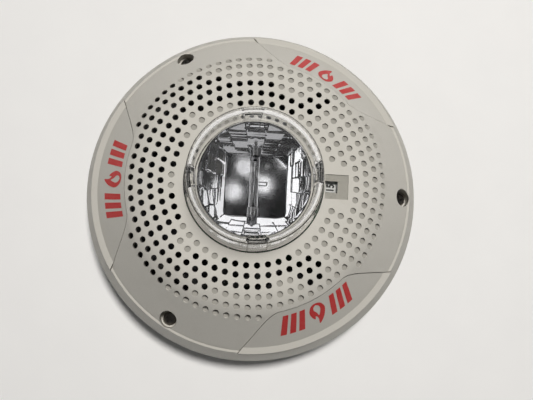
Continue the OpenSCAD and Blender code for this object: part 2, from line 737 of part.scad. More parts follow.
// ---- main board ----
module main_board() {
    color(green) translate([0, 0, main_z]) difference() {
        linear_extrude(board_t) crescent(main_inner, main_outer, main_half);
        for (p = main_posts) at(p) disc(1.5, -1, 3, $fn = 32);
        translate([pin_x, 0, 0]) at_poles() box(-pin_t/2 - 0.1, pin_t/2 + 0.1, -1.7, 1.7, -1, 3);
        box(0, stem_x + stem_w + 1, -rim_r, stem_l/2 + 1, -1, 3);
        for (a = [60, -60]) polar(post_r, a) disc(post_d/2 + 0.8, -1, 3, $fn = 48);
        at(switch_pos) disc(1.2, -1, 3, $fn = 32);
    }
}

module main_board_screws() {
    color(steel) for (p = main_posts) at(p) translate([0, 0, main_z + board_t]) pan_screw(2.1, 6, 4.6, 1.6, 0.9);
}

cap_d = 12.5;
cap_l = 24;
module main_capacitor() {
    color([0.13, 0.15, 0.35]) translate([50.5, 6, main_z + board_t + cap_d/2]) rotate([-90, 0, 0]) {
        rotate_extrude() polygon([[0, 0], [cap_d/2 - 0.5, 0], [cap_d/2, 0.5], [cap_d/2, 2.2],
            [cap_d/2 - 0.5, 2.8], [cap_d/2, 3.4], [cap_d/2, cap_l - 0.5], [cap_d/2 - 0.5, cap_l], [0, cap_l]]);
    }
}

core_w = 13;
core_l = 20;
core_h = 11;
core_x = 43.6;
core_y = -15.5;
module transformer_core() {
    color([0.35, 0.36, 0.38]) translate([core_x, core_y, main_z + board_t]) difference() {
        cube([core_w, core_l, core_h]);
        for (y = [3, core_l/2 + 2.6]) translate([-1, y, 2.2]) cube([core_w + 2, core_l/2 - 5.6, core_h - 4.4]);
    }
}

module transformer_coil() {
    limb = 5.2;
    color([0.85, 0.7, 0.35]) translate([core_x + core_w/2, core_y + core_l/2, main_z + board_t + 2.3]) difference() {
        translate([-core_w/2 - 1.6, -limb/2 - 3.9, 0]) cube([core_w + 3.2, limb + 7.8, core_h - 4.6]);
        translate([-core_w/2 - 0.1, -limb/2 - 0.1, -1]) cube([core_w + 0.2, limb + 0.2, core_h]);
    }
}

module inductor() {
    color([0.2, 0.2, 0.22]) translate([52, -28, main_z + board_t]) {
        cylinder(h = 1.2, d = 9, $fn = 48);
        translate([0, 0, 1.2 - eps]) cylinder(h = 5.6, d = 7.2, $fn = 48);
        translate([0, 0, 6.8 - 2*eps]) cylinder(h = 1.2, d = 9, $fn = 48);
    }
}

module main_board_parts() {
    z = main_z + board_t;
    color(dark) {
        box(60.5, 64.5, -6, 6, z, z + 1.6);
        for (i = [0:3]) box(61, 63, 9 + 3.4*i, 10.4 + 3.4*i, z, z + 0.7);
        for (i = [0:3]) box(61, 63, -10.4 - 3.4*i, -9 - 3.4*i, z, z + 0.7);
        box(44, 48, -23, -17.6, z, z + 1.8);
    }
}

module tap_switch_body() {
    color([0.2, 0.25, 0.5]) at(switch_pos) ring(4.05, switch_d/2, housing_z + 3.5, main_z, $fn = 64);
}
module tap_switch_rotor() {
    z = housing_z + 0.8;
    color([0.93, 0.93, 0.9]) at(switch_pos) difference() {
        union() {
            disc(4, z, z + 6, $fn = 64);
            disc(1.15, z + 6 - eps, main_z + board_t + 0.6, $fn = 32);
        }
        box(-3.2, 3.2, -0.6, 0.6, z - 1, z + 1.2);
        box(1.6, 3.2, -1.1, 1.1, z - 1, z + 1.2);
    }
}

module contact_pins() {
    color(brass) translate([pin_x, 0, 0]) at_poles() {
        box(-pin_t/2, pin_t/2, -1.6, 1.6, block_z + 3, main_z + board_t + 0.8);
        translate([-pin_t/2, 0, block_z + 3]) rotate([0, 90, 0]) rotate([0, 0, 90])
            linear_extrude(pin_t) polygon([[-1.6, -eps], [1.6, -eps], [0.8, 1.2], [-0.8, 1.2]]);
    }
}

// ---- captive screws ----
module captive_screws() {
    color(steel) for (a = screw_angles) polar(screw_r, a) translate([0, 0, seat_z])
        pan_screw(thread_d - 0.1, seat_z - plate_t + 1.2, head_d, head_h, 1.2);
}

// ---- mounting plate ----
plate_r = rim_r - wall_t - plate_gap;
module slotted(l, d) {
    for (s = [-1, 1]) translate([0, s*(l - d)/2, -1]) cylinder(h = 20, d = d, $fn = 48);
    translate([-d/2, -(l - d)/2, -1]) cube([d, l - d, 20]);
}

module mounting_plate() {
    port_x = block_x - block_w/2 - 1.5 - port_w;
    color([0.8, 0.8, 0.78]) difference() {
        union() {
            disc(plate_r, 0, plate_t);
            for (a = screw_angles) polar(screw_r, a) disc(plate_boss_d/2, 0, plate_t + plate_boss_h, $fn = 48);
            driver_axis() ring(magnet_r + magnet_gap, magnet_r + magnet_gap + 2, 0, plate_t + 0.3);
        }
        driver_axis() disc(magnet_r + magnet_gap, -1, 20);
        for (s = [-1, 1]) translate([0, s*gang_pitch/2, 0]) slotted(gang_slot, box_hole_d);
        corners(double_gang_x/2, double_gang_y/2) disc(box_hole_d/2, -1, 20, $fn = 48);
        box(port_x, port_x + port_w, -port_l/2, port_l/2, -1, 20);
        for (a = screw_angles) polar(screw_r, a) disc(thread_d/2, -1, 20, $fn = 32);
    }
}

module terminal_block() {
    color([0.15, 0.15, 0.16]) difference() {
        box(block_x - block_w/2, block_x + block_w/2, -block_l/2, block_l/2, block_z, block_z + block_h);
        translate([pin_x, 0, 0]) at_poles() box(-1.6, 1.6, -2.2, 2.2, block_z + 1.2, tall);
        translate([clamp_x, 0, 0]) at_poles() {
            disc(2.4, block_z + 5.2, tall, $fn = 32);
            box(-block_w, 2.6, -2.6, 2.6, block_z + 1, block_z + 5.2 + eps);
        }
    }
}

module terminal_clamps() {
    color(steel) translate([clamp_x, 0, block_z]) at_poles() difference() {
        box(-2.5, 2.5, -2.5, 2.5, 3.6, 5.1);
        disc(1.1, 3, 6, $fn = 24);
    }
}

module terminal_screws() {
    color(steel) translate([clamp_x, 0, block_z + 5.2]) at_poles() pan_screw(2.1, 3.6, 4.4, 1.8, 0.9);
}

module contact_sockets() {
    g = 0.03;
    color(brass) translate([pin_x, 0, block_z]) at_poles() {
        box(-1.5, -pin_t/2 - g, -2, 2, 1.25, 7.5);
        box(pin_t/2 + g, 1.5, -2, 2, 1.25, 7.5);
        box(-1.5, 1.5, -2, 2, 1.22, 1.7);
    }
}

module shorting_spring() {
    color(steel) translate([pin_x + 2.4, 0, block_z + block_h]) {
        box(-0.4, 0.9, -pole_pitch - 1, 1, 0, 0.35);
        box(-0.4, 0.9, -pole_pitch - 1, -pole_pitch - 0.6, 0.3, 0.9);
        box(-0.4, 0.9, 0.6, 1, 0.3, 0.9);
    }
}

front_cover();
marking_panels();
lens();
lens_seal();
window_pane();
reflector();
flash_tube();
tube_electrodes();
tube_posts();
trigger_wire();
strobe_board();
board_screws();
strobe_parts();
candela_slider();
slider_wiper();
rear_housing();
housing_screws();
driver_gasket();
driver_basket();
driver_screws();
top_plate();
magnet();
pole_yoke();
spider();
voice_coil();
cone();
dust_cap();
surround();
driver_terminals();
driver_leads();
main_board();
main_board_screws();
main_capacitor();
transformer_core();
transformer_coil();
inductor();
main_board_parts();
tap_switch_body();
tap_switch_rotor();
contact_pins();
captive_screws();
mounting_plate();
terminal_block();
terminal_clamps();
terminal_screws();
contact_sockets();
shorting_spring();
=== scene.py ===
import math

import bmesh
import bpy
from mathutils import Matrix, Vector
from mathutils.geometry import delaunay_2d_cdt


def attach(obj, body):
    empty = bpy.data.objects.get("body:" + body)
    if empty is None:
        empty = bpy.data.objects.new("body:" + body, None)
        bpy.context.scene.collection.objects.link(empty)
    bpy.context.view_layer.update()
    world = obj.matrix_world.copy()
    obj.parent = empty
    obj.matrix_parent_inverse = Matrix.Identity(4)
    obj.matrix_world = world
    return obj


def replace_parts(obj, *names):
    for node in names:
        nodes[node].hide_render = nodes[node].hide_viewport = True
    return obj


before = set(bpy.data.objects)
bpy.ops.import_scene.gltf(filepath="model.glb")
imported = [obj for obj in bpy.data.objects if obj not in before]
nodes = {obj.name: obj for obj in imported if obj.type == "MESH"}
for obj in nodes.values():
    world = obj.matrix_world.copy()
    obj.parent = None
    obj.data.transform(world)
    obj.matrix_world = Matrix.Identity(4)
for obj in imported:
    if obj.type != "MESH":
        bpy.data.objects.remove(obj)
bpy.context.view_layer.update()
mm = 0.001
print("frame: %d CAD nodes" % len(nodes))


class Tap:  # a socket that can stand in a sum
    def __init__(self, finish, socket):
        self.finish, self.socket = finish, socket

    def __add__(self, other):
        return self.finish.sum("ADD", self, other)

    def __radd__(self, other):
        return self.finish.sum("ADD", other, self)

    def __sub__(self, other):
        return self.finish.sum("SUBTRACT", self, other)

    def __rsub__(self, other):
        return self.finish.sum("SUBTRACT", other, self)

    def __mul__(self, other):
        return self.finish.sum("MULTIPLY", self, other)

    def __rmul__(self, other):
        return self.finish.sum("MULTIPLY", other, self)


class Finish:  # one material and the nodes in it
    def __init__(self, name):
        self.material = bpy.data.materials.new(name)
        self.material.use_nodes = True
        self.tree = self.material.node_tree
        self.tree.nodes.clear()
        self.spot = self.node("TexCoord", out="Object")

    def node(self, kind, setup=None, feeds=None, out=0):
        made = self.tree.nodes.new("ShaderNode" + kind)
        for key, value in (setup or {}).items():
            if key == "stops":  # a ramp's stops, each a place and a colour
                ramp = made.color_ramp.elements
                while len(ramp) < len(value):
                    ramp.new(1.0)
                for stop, (place, colour) in zip(ramp, value):
                    stop.position, stop.color = place, colour
            else:
                setattr(made, key, value)
        for key, value in (feeds or {}).items():
            if isinstance(value, Tap):
                self.tree.links.new(value.socket, made.inputs[key])
            else:
                made.inputs[key].default_value = value
        return Tap(self, made.outputs[out]) if made.outputs else None

    def sum(self, operation, a, b):
        return self.node("Math", {"operation": operation}, {0: a, 1: b})

    def mix(self, share, a, b):
        return self.node("Mix", {"data_type": "RGBA"}, {0: share, 6: a, 7: b}, 2)

    def stretch(self, x, y, z):  # the object's own coordinates, scaled along each axis
        return self.node("VectorMath", {"operation": "MULTIPLY"}, {0: self.spot, 1: (x, y, z)})

    def noise(self, scale, detail=2.0, rough=0.5, at=None):
        return self.node("TexNoise", None, {"Vector": at or self.spot, "Scale": scale,
                                            "Detail": detail, "Roughness": rough})

    def step(self, value, low, high):  # 0 below low, 1 above high
        return self.node("MapRange", {"interpolation_type": "SMOOTHSTEP"},
                         {"Value": value, "From Min": low, "From Max": high})

    def bump(self, height, depth, strength):
        feeds = {"Height": height, "Distance": depth, "Strength": strength}
        return self.node("Bump", None, feeds, "Normal")

    def cover(self, feeds):  # the closing shader
        shader = self.node("BsdfPrincipled", None, feeds)
        self.node("OutputMaterial", None, {"Surface": shader})
        return self.material


def tint(r, g, b):  # a screen colour as the shader's own
    def line(c):
        c /= 255
        return c / 12.92 if c < 0.04045 else ((c + 0.055) / 1.055) ** 2.4
    return (line(r), line(g), line(b), 1.0)


def shade(colour, share):
    return tuple(min(1.0, c * share) for c in colour[:3]) + (1.0,)


# the cover's outer surface: a rounded shoulder out from roundStart, then a straight slope, both
# inside the grille; the light-setting window is a shallow recess in it
coverForm = {"roundStart": 46.0, "roundRadius": 22.0, "roundCentre": 17.4, "slopeStart": 62.6,
             "slopeTop": 31.9, "slopeFall": 1.15, "grilleEnd": 66.0, "windowStart": 32.6,
             "windowEnd": 45.4, "windowHalf": 6.3, "windowEdge": 0.2, "windowShare": 0.15}


def depthUnderCover(f):  # how far a point lies under the cover's outer surface, in mm
    x, y, z = (f.node("SeparateXYZ", None, {0: f.spot}, axis) * 1000.0 for axis in range(3))
    r = f.sum("SQRT", x * x + y * y, 0.0)
    c = coverForm
    past = f.sum("MAXIMUM", r - c["roundStart"], 0.0)
    drop = f.sum("MAXIMUM", c["roundRadius"] ** 2 - past * past, 0.0)
    bend = c["roundCentre"] + f.sum("SQRT", drop, 0.0)
    slope = c["slopeTop"] - (r - c["slopeStart"]) * c["slopeFall"]
    outer = bend + f.step(r, c["slopeStart"] - 0.01, c["slopeStart"] + 0.01) * (slope - bend)
    window = (f.step(x, c["windowStart"], c["windowStart"] + c["windowEdge"])
              * f.step(c["windowEnd"] - x, 0.0, c["windowEdge"])
              * f.step(c["windowHalf"] - f.sum("ABSOLUTE", y, 0.0), 0.0, c["windowEdge"]))
    grille = f.step(c["grilleEnd"] - r, 0.0, 1.0)
    return grille * (outer - z) * (1.0 - window * c["windowShare"])


def mouldedPlastic(name, colour, rough=0.5, grain=1500, grainDepth=0.00004, dust=0.06, tone=0.03,
                   holeShade=0.0):
    f = Finish(name)
    cloud = f.noise(26, 3, 0.6)  # broad drift of tone
    skin = f.noise(grain, 3, 0.65)  # spark-eroded texture of the mould
    fleck = f.step(f.noise(2600, 1, 0.4), 0.66, 0.74)
    grime = f.step(f.noise(90, 5, 0.7), 0.52, 0.78)
    body = f.mix(cloud, shade(colour, 1 - tone), shade(colour, 1 + tone))
    body = f.mix(f.step(skin, 0.3, 0.7) * 0.16, body, shade(colour, 0.82))
    body = f.mix(fleck * 0.25, body, shade(colour, 1.18))
    body = f.mix(grime * dust, body, (0.30, 0.27, 0.22, 1))
    if holeShade:  # painted shade: the blind holes and hole walls get darker with their depth under the cover's outer surface
        body = f.mix(f.step(depthUnderCover(f), 0.3, 0.95) * holeShade, body, (0.13, 0.125, 0.11, 1))
    sheen = rough + (cloud - 0.5) * 0.12 + grime * 0.1 + (skin - 0.5) * 0.12
    return f.cover({"Base Color": body, "Roughness": sheen, "IOR": 1.49,
                    "Normal": f.bump(skin, grainDepth, 0.7)})


def darkMoulding(name, colour, rough=0.45):
    f = Finish(name)
    skin = f.noise(1900, 2, 0.6)
    haze = f.step(f.noise(60, 5, 0.7), 0.45, 0.8)
    body = f.mix(haze * 0.5, colour, shade(colour, 1.9))
    return f.cover({"Base Color": body, "Roughness": rough + haze * 0.2 + (skin - 0.5) * 0.15,
                    "Normal": f.bump(skin, 0.00003, 0.6)})


def brushedMetal(name, colour, rough=0.28, along=(3000, 3000, 90), stain=0.25):
    f = Finish(name)
    lines = f.noise(1.0, 3, 0.6, f.stretch(*along))
    blotch = f.step(f.noise(140, 4, 0.65), 0.4, 0.75)
    body = f.mix(lines * 0.4, colour, shade(colour, 0.7))
    body = f.mix(blotch * stain, body, shade(colour, 0.55))
    return f.cover({"Base Color": body, "Metallic": 1.0 - blotch * 0.12,
                    "Roughness": rough + (lines - 0.5) * 0.18 + blotch * 0.14,
                    "Normal": f.bump(lines, 0.00002, 0.5)})


def mirrorCoat(name):
    f = Finish(name)
    haze = f.step(f.noise(120, 5, 0.7), 0.35, 0.8)
    wipes = f.noise(1.0, 4, 0.7, f.stretch(900, 120, 300))
    body = f.mix(haze * 0.5, (0.95, 0.95, 0.97, 1), (0.78, 0.78, 0.80, 1))
    return f.cover({"Base Color": body, "Metallic": 1.0,
                    "Roughness": 0.05 + haze * 0.03 + (wipes - 0.4) * 0.04,
                    "Normal": f.bump(f.noise(420, 2, 0.5), 0.000008, 0.25)})


def clearPlastic(name, rough, ior, colour, scuffs):
    f = Finish(name)
    scuff = f.step(f.noise(1.0, 5, 0.75, f.stretch(700, 240, 420)), 0.56, 0.86)
    haze = f.noise(75, 4, 0.6)
    shine = f.node("BsdfPrincipled", None, {
        "Base Color": colour, "Roughness": rough + scuff * scuffs + (haze - 0.5) * 0.01,
        "IOR": ior, "Transmission Weight": 1.0,
        "Normal": f.bump(haze + scuff * 0.2, 0.00003, 0.35)})
    lamps = f.node("LightPath", out="Is Shadow Ray")
    through = f.node("BsdfTransparent", None, {"Color": (0.9, 0.9, 0.9, 1)})
    mixed = f.node("MixShader", None, {0: lamps, 1: shine, 2: through})
    f.node("OutputMaterial", None, {"Surface": mixed})
    return f.material


def redInk(name):
    f = Finish(name)
    skin = f.noise(1500, 3, 0.65)
    thin = f.step(f.noise(900, 3, 0.6), 0.62, 0.8)
    body = f.mix(thin * 0.1, tint(198, 8, 6), tint(196, 40, 30))
    body = f.mix(f.noise(60, 2) * 0.4, body, tint(176, 8, 6))
    return f.cover({"Base Color": body, "Roughness": 0.42 + (skin - 0.5) * 0.3,
                    "Normal": f.bump(skin, 0.00003, 0.6)})


def blackInk(name):
    f = Finish(name)
    edge = f.noise(3000, 2, 0.6)
    return f.cover({"Base Color": f.mix(edge, (0.006, 0.006, 0.006, 1), (0.016, 0.016, 0.015, 1)),
                    "Roughness": 0.5 + (edge - 0.5) * 0.2, "Normal": f.bump(edge, 0.00002, 0.4)})


def circuitBoard(name):
    f = Finish(name)
    tracks = f.node("TexBrick", {"offset": 0.5, "squash": 1.0}, {
        "Vector": f.spot, "Scale": 260.0, "Mortar Size": 0.06, "Mortar Smooth": 0.2,
        "Color1": (0.0, 0.0, 0.0, 1), "Color2": (0.0, 0.0, 0.0, 1), "Mortar": (1, 1, 1, 1)})
    weave = f.noise(1.0, 2, 0.6, f.stretch(2400, 2400, 400))
    body = f.mix(tracks, (0.012, 0.075, 0.028, 1), (0.03, 0.16, 0.06, 1))
    body = f.mix(weave * 0.35, body, (0.008, 0.045, 0.018, 1))
    pads = f.step(f.node("TexVoronoi", None, {"Vector": f.spot, "Scale": 190.0}), 0.16, 0.11)
    body = f.mix(pads, body, (0.62, 0.62, 0.60, 1))
    return f.cover({"Base Color": body, "Roughness": 0.32 + weave * 0.15, "Metallic": pads * 0.8,
                    "Normal": f.bump(tracks, 0.00004, 0.6)})


def paperCone(name, colour):
    f = Finish(name)
    fibre = f.noise(1.0, 5, 0.75, f.stretch(1400, 500, 900))
    body = f.mix(fibre, shade(colour, 0.55), shade(colour, 1.6))
    return f.cover({"Base Color": body, "Roughness": 0.82 + (fibre - 0.5) * 0.2,
                    "Normal": f.bump(fibre, 0.00008, 0.8)})


def woundCopper(name, colour):
    f = Finish(name)
    turns = f.node("TexWave", {"bands_direction": "Z"}, {
        "Vector": f.spot, "Scale": 900.0, "Distortion": 0.6, "Detail": 2.0})
    body = f.mix(turns, shade(colour, 0.45), colour)
    return f.cover({"Base Color": body, "Metallic": 0.55 + turns * 0.3,
                    "Roughness": 0.32 + turns * 0.12, "Normal": f.bump(turns, 0.00006, 0.8)})


def wovenCloth(name, colour):
    f = Finish(name)
    warp, weft = (f.node("TexWave", {"bands_direction": axis}, {
        "Vector": f.spot, "Scale": 620.0, "Distortion": 0.4}) for axis in "XY")
    cross = warp * weft
    body = f.mix(cross, shade(colour, 0.4), colour)
    return f.cover({"Base Color": body, "Roughness": 0.7 + cross * 0.1,
                    "Normal": f.bump(cross, 0.0001, 0.8)})


def softRubber(name, colour):
    f = Finish(name)
    bloom = f.step(f.noise(160, 5, 0.7), 0.4, 0.8)
    body = f.mix(bloom * 0.4, colour, shade(colour, 2.6))
    return f.cover({"Base Color": body, "Roughness": 0.62 + bloom * 0.18,
                    "Normal": f.bump(f.noise(1300, 3), 0.00004, 0.6)})


def firedFerrite(name):
    f = Finish(name)
    pits = f.noise(850, 5, 0.75)
    ground = f.noise(1.0, 3, 0.6, f.stretch(160, 2200, 600))
    body = f.mix(pits, (0.018, 0.018, 0.020, 1), (0.065, 0.065, 0.070, 1))
    return f.cover({"Base Color": body, "Roughness": 0.44 + pits * 0.25 + (ground - 0.5) * 0.1,
                    "Metallic": 0.25, "Normal": f.bump(pits + ground * 0.3, 0.00007, 0.8)})


def tapedCoil(name, colour):
    f = Finish(name)
    wrap = f.node("TexWave", {"bands_direction": "Z"}, {
        "Vector": f.spot, "Scale": 120.0, "Distortion": 1.0, "Detail": 1.0})
    body = f.mix(wrap * 0.5, colour, shade(colour, 0.6))
    return f.cover({"Base Color": body, "Roughness": 0.36 + wrap * 0.1, "Coat Weight": 0.2 + wrap * 0.2,
                    "Normal": f.bump(wrap, 0.00008, 0.5)})


def capSleeve(name):
    f = Finish(name)
    wrap = f.noise(1.0, 2, 0.5, f.stretch(40, 700, 40))
    body = f.mix(wrap, (0.010, 0.014, 0.075, 1), (0.022, 0.030, 0.140, 1))
    return f.cover({"Base Color": body, "Roughness": 0.24 + wrap * 0.12,
                    "Normal": f.bump(wrap, 0.00005, 0.4)})


offWhite = (0.600, 0.583, 0.535, 1)
# the cover's holes get painted shade, darker with depth under its outer surface
coverPlastic = mouldedPlastic("coverPlastic", offWhite, grainDepth=0.00006, holeShade=0.5)
panelPlastic = mouldedPlastic("panelPlastic", shade(offWhite, 0.985), rough=0.46, grain=1700,
                              grainDepth=0.00003, dust=0.05)
platePlastic = mouldedPlastic("platePlastic", (0.56, 0.55, 0.51, 1), rough=0.52, grain=1100, dust=0.12)
sliderPlastic = mouldedPlastic("sliderPlastic", (0.80, 0.80, 0.78, 1), rough=0.4, grain=2400,
                               grainDepth=0.00001, dust=0.03, tone=0.01)
housingPlastic = darkMoulding("housingPlastic", (0.055, 0.055, 0.058, 1))
blockPlastic = darkMoulding("blockPlastic", (0.030, 0.030, 0.032, 1), 0.38)
chipPlastic = darkMoulding("chipPlastic", (0.016, 0.016, 0.018, 1), 0.34)
switchPlastic = darkMoulding("switchPlastic", (0.030, 0.050, 0.230, 1), 0.36)
lensClear = clearPlastic("lensClear", 0.012, 1.5, (1, 1, 1, 1), 0.10)
paneClear = clearPlastic("paneClear", 0.015, 1.3, (0.93, 0.94, 0.93, 1), 0.12)
tubeGlass = clearPlastic("tubeGlass", 0.01, 1.2, (1, 1, 1, 1), 0.02)
mirror = mirrorCoat("mirror")
red = redInk("red")
black = blackInk("black")
board = circuitBoard("board")
brightSteel = brushedMetal("brightSteel", (0.74, 0.74, 0.75, 1), 0.22)
zincSteel = brushedMetal("zincSteel", (0.62, 0.63, 0.64, 1), 0.32, (1600, 1600, 240), 0.35)
dullSteel = brushedMetal("dullSteel", (0.30, 0.28, 0.26, 1), 0.42, (1200, 1200, 300), 0.5)
coreSteel = brushedMetal("coreSteel", (0.20, 0.20, 0.21, 1), 0.46, (200, 2600, 2600), 0.5)
brass = brushedMetal("brass", (0.78, 0.56, 0.24, 1), 0.26, (2200, 2200, 200), 0.3)
ferrite = firedFerrite("ferrite")
copper = woundCopper("copper", (0.80, 0.36, 0.14, 1))
coilTape = tapedCoil("coilTape", (0.62, 0.42, 0.06, 1))
sleeve = capSleeve("sleeve")
spiderCloth = wovenCloth("spiderCloth", (0.46, 0.27, 0.09, 1))
conePaper = paperCone("conePaper", (0.022, 0.022, 0.024, 1))
rubber = softRubber("rubber", (0.020, 0.020, 0.021, 1))

dressed = {
    "front_cover": coverPlastic, "marking_panels": panelPlastic, "lens": lensClear, "lens_seal": rubber,
    "window_pane": paneClear, "reflector": mirror, "flash_tube": tubeGlass,
    "tube_electrodes": brightSteel, "tube_posts": brightSteel, "trigger_wire": brightSteel,
    "strobe_board": board, "board_screws": zincSteel, "strobe_parts": chipPlastic,
    "candela_slider": sliderPlastic, "slider_wiper": brass, "rear_housing": housingPlastic,
    "housing_screws": zincSteel, "driver_gasket": rubber, "driver_basket": zincSteel,
    "driver_screws": zincSteel, "top_plate": zincSteel, "magnet": ferrite, "pole_yoke": zincSteel,
    "spider": spiderCloth, "voice_coil": copper, "cone": conePaper, "dust_cap": conePaper,
    "surround": rubber, "driver_terminals": blockPlastic, "driver_leads": copper,
    "main_board": board, "main_board_screws": zincSteel, "main_capacitor": sleeve,
    "transformer_core": coreSteel, "transformer_coil": coilTape, "inductor": coreSteel,
    "main_board_parts": chipPlastic, "tap_switch_body": switchPlastic,
    "tap_switch_rotor": sliderPlastic, "contact_pins": brass, "captive_screws": dullSteel,
    "mounting_plate": platePlastic, "terminal_block": blockPlastic, "terminal_clamps": zincSteel,
    "terminal_screws": zincSteel, "contact_sockets": brass, "shorting_spring": brightSteel}
for name, finish in dressed.items():
    part = nodes[name]
    part.data.materials.clear()
    part.data.materials.append(finish)
print("finishes on %d nodes" % len(dressed))


def newPiece(name, vertices, faces, finish, body, smoothAngle=35):
    mesh = bpy.data.meshes.new(name)
    mesh.from_pydata([Vector(v) * mm for v in vertices], [], faces)
    mesh.validate()
    mesh.materials.append(finish)
    mesh.shade_smooth()
    mesh.set_sharp_from_angle(angle=math.radians(smoothAngle))
    piece = bpy.data.objects.new(name, mesh)
    bpy.context.scene.collection.objects.link(piece)
    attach(piece, body)
    return piece


def lathe(profile, steps, radiusAt=None):  # a profile of (radius, height) turned about Z
    count = len(profile)
    vertices, faces = [], []
    for i in range(steps):
        a = 2 * math.pi * i / steps
        for j, (r, z) in enumerate(profile):
            r = radiusAt(j, r, z, a) if radiusAt else r
            vertices.append((r * math.cos(a), r * math.sin(a), z))
    for i in range(steps):
        k = (i + 1) % steps
        for j in range(count):
            m = (j + 1) % count
            faces.append((i * count + j, k * count + j, k * count + m, i * count + m))
    return vertices, faces


# the clear lens: a bead at its foot, a drafted wall, a rounded shoulder, a low dome,
# and four thick blocks inside the wall that throw light sideways
lensShape = {"radius": 32.73, "face": 39.4, "top": 69.0, "topRadius": 30.0, "shoulder": 8.0,
             "crown": 0.9, "wall": 2.0, "bead": 0.4, "flange": 34.8, "blockHalf": 4.2, "blockDepth": 1.3,
             "blockAngles": (5, 95, 185, 275), "blockLow": 2, "blockHigh": 6, "cuts": 12, "hole": 0.02}


def lensProfile(s, inset):
    top = s["top"] - inset
    bend = s["shoulder"] - inset * 0.6
    middle = s["topRadius"] - inset - bend
    centre = top - s["crown"] - bend
    line = [(middle + bend * math.cos(math.radians(a)), centre + bend * math.sin(math.radians(a)))
            for a in range(0, 91, 6)]
    shares = [1 - t / s["cuts"] for t in range(1, s["cuts"] + 1)]
    return line + [(middle * t, centre + bend + s["crown"] * (1 - t ** 2)) for t in shares]


def makeLens(s):
    face, r, w = s["face"], s["radius"], s["wall"]
    foot = [(r, s["flange"]), (r, face + 1.3), (r - 0.1, face + 1.5), (r - s["bead"], face + 1.55),
            (r - s["bead"], face + 2.6), (r - s["bead"] - 0.15, face + 2.75)]
    outer = foot + lensProfile(s, 0)
    inner = [(r - w, s["flange"]), (r - w, face + 1.2), (r - w - 0.3, face + 2.4)] + lensProfile(s, w)
    outer[-1] = (s["hole"], outer[-1][1])
    inner[-1] = (s["hole"], inner[-1][1])
    profile = outer + inner[::-1]
    firstInner = len(outer)

    def blocks(j, radius, z, a):
        if j < firstInner or not face + s["blockLow"] <= z <= s["top"] - s["blockHigh"]:
            return radius
        away = min(abs((a - math.radians(q) + math.pi) % (2 * math.pi) - math.pi)
                   for q in s["blockAngles"])
        return radius - s["blockDepth"] * (1 if away * radius < s["blockHalf"] else 0)

    vertices, faces = lathe(profile, 288, blocks)
    return newPiece("lensShell", vertices, faces, lensClear, "head")


# the reflector: a nearly flat floor, four sides of facets that fan out and step up to a round
# rim with four notches, and a skirt below
bowlShape = {"radius": 28.3, "rim": 45.0, "floor": 35.6, "skirt": 33.6, "notchHalf": 3.6, "notchDrop": 1.6,
             "floorX": 14.5, "floorY": 15.0, "tread": 3.7, "rise": 0.4, "tilt": 0.37, "facets": 2.6,
             "flute": 0.011, "flutePitch": 1.15, "centreX": 1.0, "centreY": -1.0, "dish": 0.0002,
             "ease": 0.5, "lean": 0.13, "twist": 0.10, "settle": 3, "brim": 0.3, "notchReach": 4.2,
             "ripple": 0.25, "ripplePitch": 3.1, "lip": 0.9, "foot": 3.5, "rings": 110, "steps": 300}


def scatter(*keys):  # a fixed number from -0.5 to 0.5 for each set of whole numbers
    mixed = math.sin(sum(k * w for k, w in zip(keys, (12.9898, 78.233, 37.719)))) * 43758.5453
    return mixed - math.floor(mixed) - 0.5


def bowlHeight(s, x, y):
    alongX, alongY = abs(x - s["centreX"]) - s["floorX"], abs(y - s["centreY"]) - s["floorY"]
    reach = max(alongX, alongY)
    height = s["floor"] + s["dish"] * (x * x + y * y)
    if reach > 0:
        side = (1 if x > 0 else 2) if alongX > alongY else (3 if y > 0 else 4)
        across = y if alongX > alongY else x
        fan = across / (s["floorX"] + reach) * s["facets"] + 0.5  # facets spread out from the floor
        facet = math.floor(fan)
        out = reach + s["tread"] * scatter(side, facet, 7)
        tread = max(0, math.floor(out / s["tread"]))
        ease = min(1.0, (out - tread * s["tread"]) / s["ease"]) if tread else 0.0
        height += s["tilt"] * reach + s["rise"] * max(0.0, tread - 1 + ease)
        height += reach * (s["lean"] * scatter(side, tread, facet) * min(1.0, reach / s["settle"])
                           + s["twist"] * scatter(facet, side, 3) * (fan - facet))
        height += s["flute"] * min(1.0, reach) * math.sin(2 * math.pi * reach / s["flutePitch"] + facet)
    height = min(height, s["rim"] - s["brim"])
    far = math.hypot(x, y)
    if far > s["radius"] - s["notchReach"] and min(abs(x), abs(y)) < s["notchHalf"]:
        height = s["rim"] - s["notchDrop"] + s["ripple"] * math.sin(s["ripplePitch"] * far)
    return height


def makeReflector(s):
    rings, steps = s["rings"], s["steps"]
    turns = [2 * math.pi * k / steps for k in range(steps)]
    vertices, faces = [], []
    for i in range(rings + 1):
        r = max(0.02, (s["radius"] - s["lip"]) * i / rings)
        for x, y in ((r * math.cos(a), r * math.sin(a)) for a in turns):
            vertices.append((x, y, bowlHeight(s, x, y)))
    wide, rim, skirt = s["radius"], s["rim"], s["skirt"]
    outside = [(wide - 0.8, rim), (wide - 0.1, rim), (wide, rim - 0.15), (wide, skirt + 1.2),
               (wide + s["foot"], skirt + 1.1), (wide + s["foot"], skirt)]
    for r, z in outside:
        for x, y in ((r * math.cos(a), r * math.sin(a)) for a in turns):
            notch = min(abs(x), abs(y)) < s["notchHalf"] and z > rim - 1
            vertices.append((x, y, z - s["notchDrop"] if notch else z))
    for i in range(rings + len(outside)):
        for k in range(steps):
            m = (k + 1) % steps
            faces.append((i * steps + k, i * steps + m, (i + 1) * steps + m, (i + 1) * steps + k))
    return newPiece("reflectorBowl", vertices, [f[::-1] for f in faces], mirror, "head", 28)


# a pale collar in the slot between the reflector and the lens's wall
collarShape = {"inner": 28.45, "outer": 30.65, "low": 37.6, "high": 39.3, "edge": 0.2}


